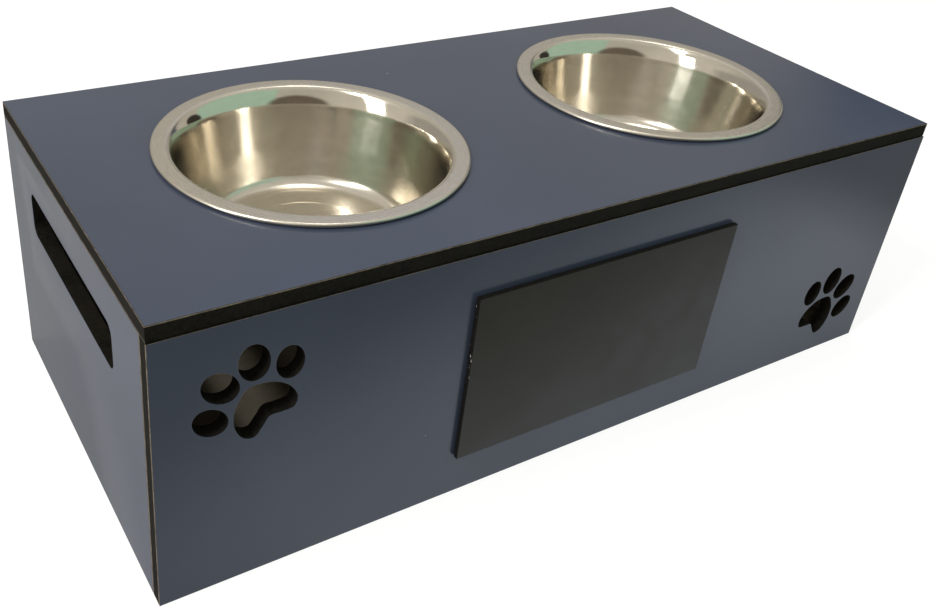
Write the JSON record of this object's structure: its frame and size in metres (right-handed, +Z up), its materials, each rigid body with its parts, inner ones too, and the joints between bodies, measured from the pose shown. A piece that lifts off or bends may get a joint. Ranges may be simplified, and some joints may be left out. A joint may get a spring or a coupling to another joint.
{
  "type": "elevated dog feeder with storage",
  "caption": "Raised dog feeder: a laminated storage box whose hinged lid holds lift-out steel bowls, with hand holes, paw cut-outs and a blank plate.",
  "frame": {"origin": "middle of the footprint, on the underside", "axes": "+X along the width to the right as seen from the front, -Y out of the front face, +Z up"},
  "size_m": [0.6, 0.282, 0.1968],
  "materials": {
    "navy_laminate": "satin laminate on a black-brown core",
    "black_board": "matt",
    "stainless": "polished inside, satin rim",
    "zinc_plate": "zinc plated",
    "beech": "plain",
    "white_tape": "foam tape"
  },
  "bodies": {
    "box": {"front_panel": "navy_laminate", "back_panel": "navy_laminate", "side_panel_left": "navy_laminate", "side_panel_right": "navy_laminate", "bottom_panel": "navy_laminate", "dowels_front": "beech", "dowels_back": "beech", "dowels_bottom": "beech", "name_plate": "black_board", "plate_tape": "white_tape", "hinge_box_leaf_left": "zinc_plate", "hinge_pin_left": "zinc_plate", "hinge_box_leaf_right": "zinc_plate", "hinge_pin_right": "zinc_plate", "hinge_screws_box": "zinc_plate"},
    "lid": {"lid_panel": "navy_laminate", "hinge_lid_leaf_left": "zinc_plate", "hinge_lid_leaf_right": "zinc_plate", "hinge_screws_lid": "zinc_plate"},
    "bowl_left": {"bowl_left": "stainless"},
    "bowl_right": {"bowl_right": "stainless"}
  },
  "joints": [
    {"name": "lid_hinge", "type": "hinge", "parent": "box", "child": "lid", "pos_m": [0, 0.13584, 0.18335], "axis": [-1, 0, 0], "range_deg": [0, 105]},
    {"name": "bowl_left_lift", "type": "slide", "parent": "lid", "child": "bowl_left", "axis": [0, 0, 1], "range_m": [0, 0.08]},
    {"name": "bowl_right_lift", "type": "slide", "parent": "lid", "child": "bowl_right", "axis": [0, 0, 1], "range_m": [0, 0.08]}
  ]
}
